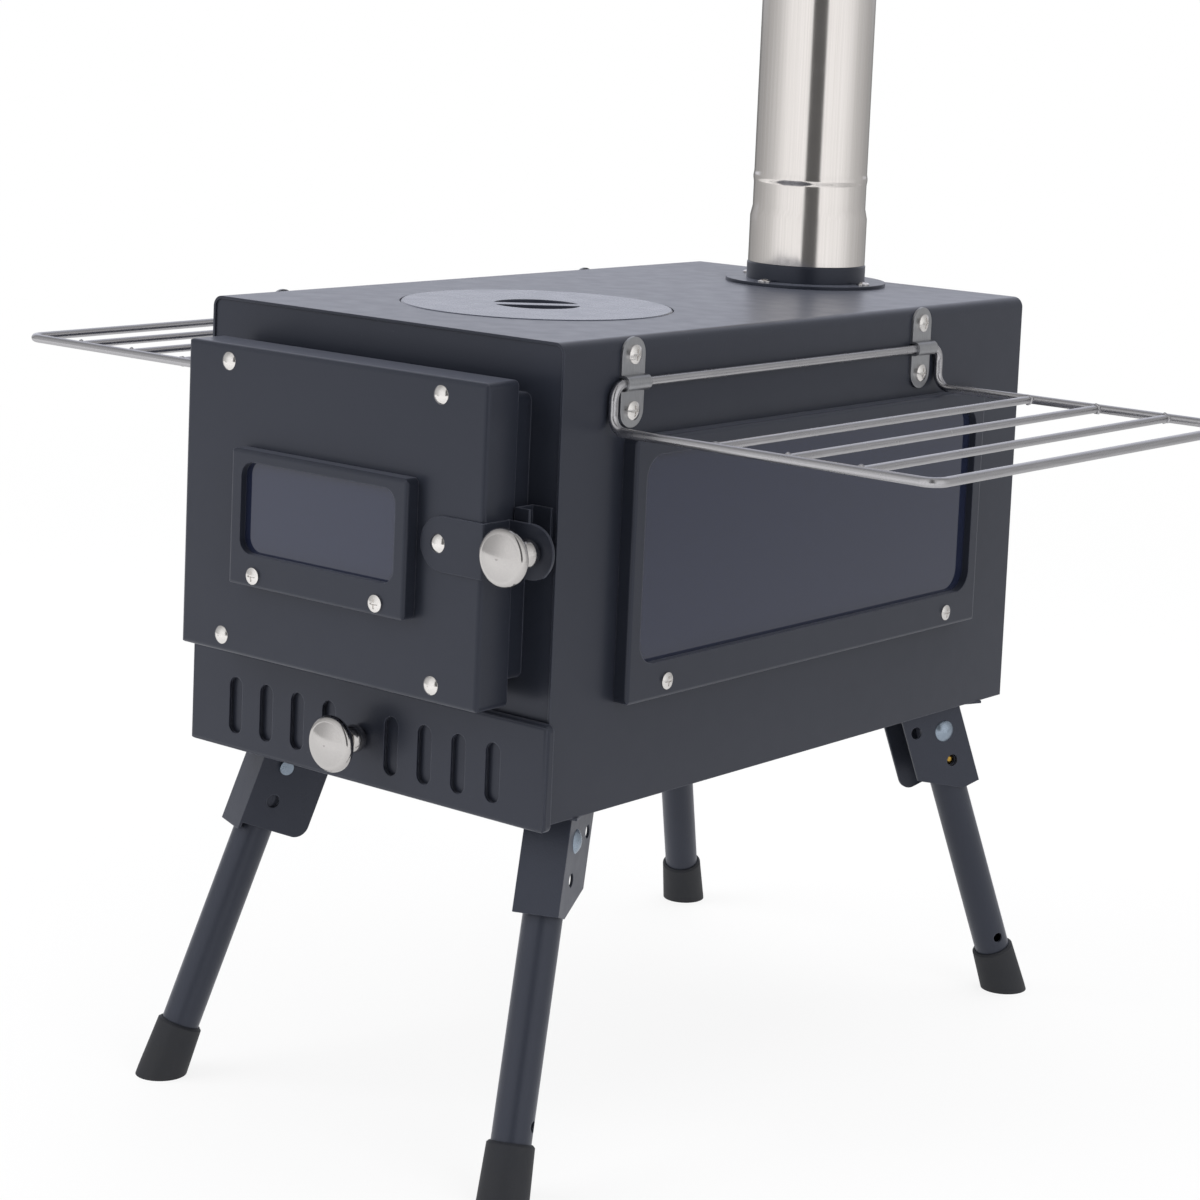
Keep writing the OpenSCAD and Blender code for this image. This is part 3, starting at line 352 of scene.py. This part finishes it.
# the legs have a thicker, grainier coat; their lighter colour is a painted highlight, standing in for the
# gloss the legs catch
legPaintWithHighlight = dict(stovePaint, colour="#24272f", patch="#2a2d35", roughness=(0.36, 0.46),
                peelMm=1.1, peelHeight=0.00008, waveHeight=0.0, dustFrom=0.83)


def paintedSteel(name, look):
    material, tree, place = newMaterial(name)
    base = blend(tree, noise(tree, place, look["patchMm"], 3.0), look["colour"], look["patch"])
    speck = remap(tree, noise(tree, place, look["dustMm"], 1.0),
                  (look["dustFrom"], look["dustFrom"] + look["dustSpan"]), (0.0, look["dustShare"]))
    dusty = blend(tree, speck, base, look["dust"])
    # the fold and cut edges are rounded over and painted a little lighter: partly rubbed wear, partly a
    # painted highlight along the folds
    soft = softEdge(tree, look["edgeMm"])
    sharp = addNode(tree, "ShaderNodeNewGeometry").outputs["Normal"]
    bend = addNode(tree, "ShaderNodeVectorMath", {"operation": "DOT_PRODUCT"}, {0: soft, 1: sharp})
    # rubbed marks the edges that take the painted highlight and the wear
    rubbed = remap(tree, bend.outputs["Value"], look["edgeBend"], (0.0, look["edgeWearAndHighlightShare"]))
    wornAndLitColour = blend(tree, rubbed, dusty, look["edgeWearAndHighlightColour"])
    wiped = remap(tree, noise(tree, place, look["clothMm"], 4.0), noiseSpan, look["roughness"])
    wavy = bump(tree, noise(tree, place, look["waveMm"], 1.0), look["waveHeight"], soft)
    fine = bump(tree, noise(tree, place, look["peelMm"], 2.0), look["peelHeight"], wavy)
    endMaterial(tree, {
        "IOR": look["ior"], "Specular Tint": toLinear(look["gloss"]),
        "Coat Weight": look["coat"], "Coat Roughness": look["coatRoughness"],
        "Sheen Weight": look["sheen"], "Sheen Roughness": look["sheenRoughness"],
        "Sheen Tint": toLinear(look["gloss"])},
        {"Base Color": wornAndLitColour, "Roughness": wiped, "Normal": fine})
    return material


metalGrain = {"toneSpan": (0.3, 0.75), "smearMm": 18}  # alike on every metal

polishedSteel = dict(  # machine-polished stainless steel: bright, with hair-fine swirls
    metalGrain, colour="#f4f1ee", shade="#e6e3e1", roughness=(0.12, 0.20),
    grainMm=(0.35, 0.35, 0.35), grainHeight=0.000004, edgeMm=0.3)

# cast knobs are polished a little duller
knobSteel = dict(polishedSteel, colour="#cfccca", shade="#c1bebd")

wireSteel = dict(  # drawn stainless wire: soft bright streaks along the rod
    metalGrain, colour="#c3c2c5", shade="#b4b3b6", roughness=(0.22, 0.30),
    grainMm=(0.8, 16.0, 0.8), grainHeight=0.0000006, edgeMm=0.0)

pipeSteel = dict(  # rolled stainless sheet with a fine bright finish: long faint lines up the pipe
    metalGrain, colour="#efeae7", shade="#e6e1dd", roughness=(0.11, 0.16),
    grainMm=(0.9, 0.9, 120.0), grainHeight=0.000002, edgeMm=0.0)

clipSteel = dict(  # stamped stainless strip, tumbled: an even satin grey
    metalGrain, colour="#b4b5b8", shade="#a6a7aa", roughness=(0.30, 0.38),
    grainMm=(0.6, 0.6, 5.0), grainHeight=0.000010, edgeMm=0.5)

zincPlate = dict(  # bright zinc plate with a blue passivation
    metalGrain, colour="#a9b6c4", shade="#8f9cab", roughness=(0.22, 0.34),
    grainMm=(0.5, 0.5, 0.5), grainHeight=0.000006, edgeMm=0.3)

turnedBrass = dict(  # turned brass, a little dulled
    metalGrain, colour="#c7a352", shade="#a5823a", roughness=(0.20, 0.34),
    grainMm=(0.4, 0.4, 0.4), grainHeight=0.000006, edgeMm=0.3)


def bareMetal(name, look):
    material, tree, place = newMaterial(name)
    along = addNode(tree, "ShaderNodeMapping", {"Scale": tuple(perMetre(mm) for mm in look["grainMm"])},
                    {"Vector": place})
    grain = addNode(tree, "ShaderNodeTexNoise", {"Scale": 1.0, "Detail": 3.0},
                    {"Vector": along.outputs["Vector"]}).outputs["Fac"]
    colour = blend(tree, remap(tree, grain, look["toneSpan"]), look["colour"], look["shade"])
    wiped = remap(tree, noise(tree, place, look["smearMm"], 4.0), noiseSpan, look["roughness"])
    soft = softEdge(tree, look["edgeMm"]) if look["edgeMm"] else None
    endMaterial(tree, {"Metallic": 1.0}, {
        "Base Color": colour, "Roughness": wiped, "Normal": bump(tree, grain, look["grainHeight"], soft)})
    return material


smokedGlass = {  # smoked ceramic glass: so dark that the eye sees its blue-grey gloss and no fire
    "colour": "#1b2033", "ior": 1.5, "gloss": "#d6daf0", "coat": 0.7, "coatRoughness": 0.03,
    "roughness": (0.03, 0.07), "smearMm": 70, "smearSpan": (0.35, 0.7),
}


def ceramicGlass(name, look):
    material, tree, place = newMaterial(name)
    wiped = remap(tree, noise(tree, place, look["smearMm"], 5.0), look["smearSpan"], look["roughness"])
    endMaterial(tree, {
        "Base Color": toLinear(look["colour"]), "IOR": look["ior"],
        "Specular Tint": toLinear(look["gloss"]),
        "Coat Weight": look["coat"], "Coat Roughness": look["coatRoughness"]}, {"Roughness": wiped})
    return material


capRubber = {  # moulded rubber: matt black with a fine spark-eroded grain
    "colour": "#15161a", "bloom": "#23252b", "bloomMm": 22, "ior": 1.52, "roughness": (0.55, 0.7),
    "grainMm": 0.9, "grainHeight": 0.00006, "edgeMm": 0.8,
}


def mouldedRubber(name, look):
    material, tree, place = newMaterial(name)
    bloom = noise(tree, place, look["bloomMm"], 4.0)
    grain = noise(tree, place, look["grainMm"], 2.0)
    endMaterial(tree, {"IOR": look["ior"]}, {
        "Base Color": blend(tree, bloom, look["colour"], look["bloom"]),
        "Roughness": remap(tree, bloom, noiseSpan, look["roughness"]),
        "Normal": bump(tree, grain, look["grainHeight"], softEdge(tree, look["edgeMm"]))})
    return material


outerCoat = paintedSteel("satin stove enamel on sheet steel", stovePaint)
lidCoatWithGlare = paintedSteel("stove enamel rubbed smooth by pots", lidPaintWithGlare)
innerCoat = paintedSteel("dull stove enamel inside the firebox", innerPaint)
legCoatWithHighlight = paintedSteel("grainy powder coat on steel tube", legPaintWithHighlight)
polished = bareMetal("polished stainless steel", polishedSteel)
knobMetal = bareMetal("polished cast knob steel", knobSteel)
wire = bareMetal("drawn stainless wire", wireSteel)
pipeSheet = bareMetal("bright rolled stainless sheet", pipeSteel)
clipStrip = bareMetal("tumbled stainless strip", clipSteel)
zinc = bareMetal("blue-passivated zinc plate", zincPlate)
brass = bareMetal("turned brass", turnedBrass)
glass = ceramicGlass("smoked ceramic glass", smokedGlass)
rubber = mouldedRubber("moulded rubber", capRubber)

legs = ["front_left", "front_right", "back_left", "back_right"]
dress(["firebox_shell", "front_panel", "back_panel", "base_panel", "latch_keeper", "hinge_leaves_body",
       "side_window_frame_left", "side_window_frame_right", "flue_collar", "door_panel",
       "door_window_frame", "hinge_leaves_door", "latch_strap", "latch_tongue", "drawer_front"],
      outerCoat)
dress(["cook_lid"], lidCoatWithGlare)
dress(["fire_grate", "grate_rails", "door_liner", "ash_tray"], innerCoat)
dress(["leg_tube_" + leg for leg in legs] + ["leg_bracket_" + leg for leg in legs], legCoatWithHighlight)
dress(["hinge_pins", "side_window_screws_left", "side_window_screws_right", "flue_collar_screws",
       "rack_clip_screws_left", "rack_clip_screws_right", "door_window_screws", "door_rivets",
       "latch_strap_rivet"], polished)
dress(["latch_knob", "drawer_knob"], knobMetal)
dress(["rack_left", "rack_right"], wire)
dress(["rack_clips_left", "rack_clips_right"], clipStrip)
dress(["flue_pipe"], pipeSheet)
dress(["side_glass_left", "side_glass_right", "door_glass"], glass)
dress(["leg_pivot_bolts"], zinc)
dress(["lock_pin_" + leg for leg in legs], brass)
dress(["foot_cap_" + leg for leg in legs], rubber)
print("stage 4: finishes")


# Weld beads where the racks' cross bars meet their arms

rackWelds = {  # metres
    "pivotX": 0.1278, "reach": 0.1927, "barPitch": 0.0433, "bars": 3,
    "nearY": 0.0365 - frontToMiddle, "farY": 0.3355 - frontToMiddle, "armZ": 0.1975 + baseHeight,
    "armRadius": 0.0025, "barRadius": 0.0022, "beadRadius": 0.00085,
    "ringSteps": 20, "beadSteps": 8,
    # waves around each ring, and their height as a share of its radius
    "broadWaves": 3, "broadSwell": 0.10, "broadShift": 2.1, "fineWaves": 5, "fineSwell": 0.07,
}


def unevenBead(bead, look, x, count, inward):  # a hand-laid bead is never an even ring
    for corner in bead.data.vertices:
        across = corner.co.x - x
        above = corner.co.z - look["armZ"]
        angle = math.atan2(above, across)
        broad = look["broadSwell"] * math.sin(look["broadWaves"] * angle + look["broadShift"] * count)
        fine = look["fineSwell"] * math.sin(look["fineWaves"] * angle + inward)
        corner.co.x = x + across * (1 + broad + fine)
        corner.co.z = look["armZ"] + above * (1 + broad + fine)


def makeRackWelds(look, side, body):
    beads = []
    for count in range(1, look["bars"] + 1):
        for armY, inward in ((look["nearY"], 1), (look["farY"], -1)):
            x = side * (look["pivotX"] + look["reach"] - count * look["barPitch"])
            deselectAll()
            bpy.ops.mesh.primitive_torus_add(
                major_segments=look["ringSteps"], minor_segments=look["beadSteps"],
                major_radius=look["barRadius"], minor_radius=look["beadRadius"],
                rotation=(math.pi / 2, 0, 0),
                location=(x, armY + inward * look["armRadius"], look["armZ"]))
            bead = bpy.context.object
            bpy.ops.object.transform_apply(location=True, rotation=True, scale=True)
            unevenBead(bead, look, x, count, inward)
            beads.append(bead)
    piece = joinAll(beads)
    piece.name = "rack_welds_left" if side < 0 else "rack_welds_right"
    originToMiddle()
    bpy.ops.object.shade_smooth()
    piece.data.materials.append(wire)
    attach(piece, body)


makeRackWelds(rackWelds, -1, "rack_l")
makeRackWelds(rackWelds, 1, "rack_r")
print("stage 5: rack welds")


# Flue pipe and the black ring that it stands on, turned from one profile each

flueParts = {  # metres; heights from the pipe's foot, which is the ring's upper edge
    "ringRise": 0.0035,       # the ring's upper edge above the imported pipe's foot
    "ringRadius": 0.0363, "ringBore": 0.0350, "ringFoot": 0.0070, "ringRound": 0.0012,
    "ringTurnsDeg": (0, 22, 45, 68, 90),
    "socketStep": 0.0013, "wall": 0.0008, "socketLong": 0.0280, "taperLong": 0.0060,
    "beadUp": 0.0520, "beadHalf": 0.0040, "beadProud": 0.00045, "beadHalfSteps": 6,
    "steps": 128, "smoothDeg": 32, "mergeWithin": 0.000005,
}


def turnPiece(name, profile, middle, look):  # profile points are (radius, height), closed
    deselectAll()
    bpy.ops.mesh.primitive_plane_add(size=0.01)
    piece = bpy.context.object
    piece.name = name
    bpy.ops.object.mode_set(mode="EDIT")
    bpy.ops.mesh.merge(type="CENTER")  # one corner is left, and the profile is drawn with it
    here = Vector((0, 0, 0))
    for count, (radius, height) in enumerate(profile + profile[:1]):
        step = Vector((middle[0] + radius, middle[1], middle[2] + height)) - here
        if count:
            bpy.ops.mesh.extrude_region_move(TRANSFORM_OT_translate={"value": step})
        else:
            bpy.ops.transform.translate(value=step)
        here += step
    bpy.ops.mesh.select_all(action="SELECT")
    bpy.ops.mesh.spin(steps=look["steps"], angle=2 * math.pi, center=middle, axis=(0, 0, 1))
    bpy.ops.mesh.select_all(action="SELECT")
    bpy.ops.mesh.remove_doubles(threshold=look["mergeWithin"])
    bpy.ops.mesh.normals_make_consistent(inside=False)
    bpy.ops.object.mode_set(mode="OBJECT")
    bpy.ops.object.shade_smooth_by_angle(angle=math.radians(look["smoothDeg"]))
    originToMiddle()
    return piece


def pipeProfile(look, socket, top):
    tube = socket - look["socketStep"]
    shoulder = look["socketLong"] + look["taperLong"]
    half = look["beadHalfSteps"]
    bead = []
    for i in range(2 * half + 1):  # the rolled bead is one soft swell
        share = -1 + i / half
        bead.append((tube + look["beadProud"] * (1 + math.cos(share * math.pi)) / 2,
                     look["beadUp"] + share * look["beadHalf"]))
    outer = [(socket, 0), (socket, look["socketLong"]), (tube, shoulder)] + bead + [(tube, top)]
    inner = [(radius - look["wall"], height) for radius, height in reversed(outer)]
    return outer + inner


def ringProfile(look):
    foot = -look["ringFoot"] - look["ringRise"]
    edge = []
    for turnDeg in look["ringTurnsDeg"]:
        turn = math.radians(turnDeg)
        edge.append((look["ringRadius"] - look["ringRound"] * (1 - math.cos(turn)),
                     -look["ringRound"] * (1 - math.sin(turn))))
    return [(look["ringBore"], foot), (look["ringRadius"], foot)] + edge + [(look["ringBore"], 0)]


def makeFlue(look):
    low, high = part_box("flue_pipe")
    middle = Vector(((low[0] + high[0]) / 2, (low[1] + high[1]) / 2, low[2] + look["ringRise"]))
    pipe = turnPiece("flue_pipe_rolled", pipeProfile(look, (high[0] - low[0]) / 2, high[2] - middle[2]),
                     middle, look)
    pipe.data.materials.append(pipeSheet)
    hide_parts("flue_pipe")
    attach(pipe, "pipe")
    ring = turnPiece("flue_collar_ring", ringProfile(look), middle, look)
    ring.data.materials.append(outerCoat)
    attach(ring, "stove")


makeFlue(flueParts)
print("stage 6: flue pipe and its ring")


# Drawer front and ash tray with the full width of their air slots

airSlots = {  # metres
    "first": 0.0227, "pitch": 0.0235, "count": 4, "wide": 0.0098, "long": 0.0314,
    "middleZ": 0.022 + baseHeight, "deep": 0.0042, "in": 0.0011, "sides": 32,
    "mergeWithin": 0.000002, "smoothDeg": 25,
    "trayWall": 0.0013, "baffleBehind": 0.0034, "baffleThick": 0.0012,
    "baffleLow": 0.0035, "baffleHigh": 0.0410, "baffleRound": 0.0003,
}


def makeSlotCutter(look, faceY):
    half = look["wide"] / 2
    stretch = look["long"] / 2 - half
    cutters = []
    for side in (-1, 1):
        for i in range(look["count"]):
            x = side * (look["first"] + i * look["pitch"])
            deselectAll()
            bpy.ops.mesh.primitive_cylinder_add(
                vertices=look["sides"], radius=half, depth=look["deep"],
                rotation=(math.pi / 2, math.pi / look["sides"], 0),
                location=(x, faceY + look["deep"] / 2 - look["in"], look["middleZ"]))
            cutter = bpy.context.object
            bpy.ops.object.transform_apply(location=True, rotation=True, scale=True)
            for corner in cutter.data.vertices:
                corner.co.z += stretch if corner.co.z > look["middleZ"] else -stretch
            cutters.append(cutter)
    return joinAll(cutters)


def cutCopy(node, name, cutter, look):
    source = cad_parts[node]
    piece = bpy.data.objects.new(name, source.data.copy())
    bpy.context.scene.collection.objects.link(piece)
    deselectAll()
    piece.select_set(True)
    bpy.context.view_layer.objects.active = piece
    bpy.ops.object.mode_set(mode="EDIT")
    bpy.ops.mesh.select_all(action="SELECT")
    bpy.ops.mesh.remove_doubles(threshold=look["mergeWithin"])
    bpy.ops.object.mode_set(mode="OBJECT")
    cut = piece.modifiers.new("slots", "BOOLEAN")
    cut.operation = "DIFFERENCE"
    cut.solver = "EXACT"
    cut.object = cutter
    bpy.ops.object.modifier_apply(modifier="slots")
    bpy.ops.object.shade_smooth_by_angle(angle=math.radians(look["smoothDeg"]))
    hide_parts(node)
    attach(piece, "drawer")


def makeBaffle(look, faceY):  # an upright strip a little behind the slots keeps the embers in
    low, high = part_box("ash_tray")
    deselectAll()
    bpy.ops.mesh.primitive_cube_add(size=1)
    strip = bpy.context.object
    strip.name = "ash_tray_front_strip"
    strip.scale = (high[0] - low[0] - 2 * look["trayWall"], look["baffleThick"],
                   look["baffleHigh"] - look["baffleLow"])
    strip.location = ((low[0] + high[0]) / 2, faceY + look["baffleBehind"],
                      baseHeight + (look["baffleHigh"] + look["baffleLow"]) / 2)
    bpy.ops.object.transform_apply(location=True, rotation=True, scale=True)
    bpy.ops.object.mode_set(mode="EDIT")
    bpy.ops.mesh.select_all(action="SELECT")
    bpy.ops.mesh.bevel(offset=look["baffleRound"], segments=2)
    bpy.ops.object.mode_set(mode="OBJECT")
    strip.data.materials.append(outerCoat)
    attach(strip, "drawer")


def makeAirSlots(look):
    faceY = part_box("drawer_front")[0][1]
    cutter = makeSlotCutter(look, faceY)
    cutCopy("drawer_front", "drawer_front_pressed", cutter, look)
    cutCopy("ash_tray", "ash_tray_pressed", cutter, look)
    bpy.data.objects.remove(cutter)
    makeBaffle(look, faceY)


makeAirSlots(airSlots)
print("stage 7: air slots")
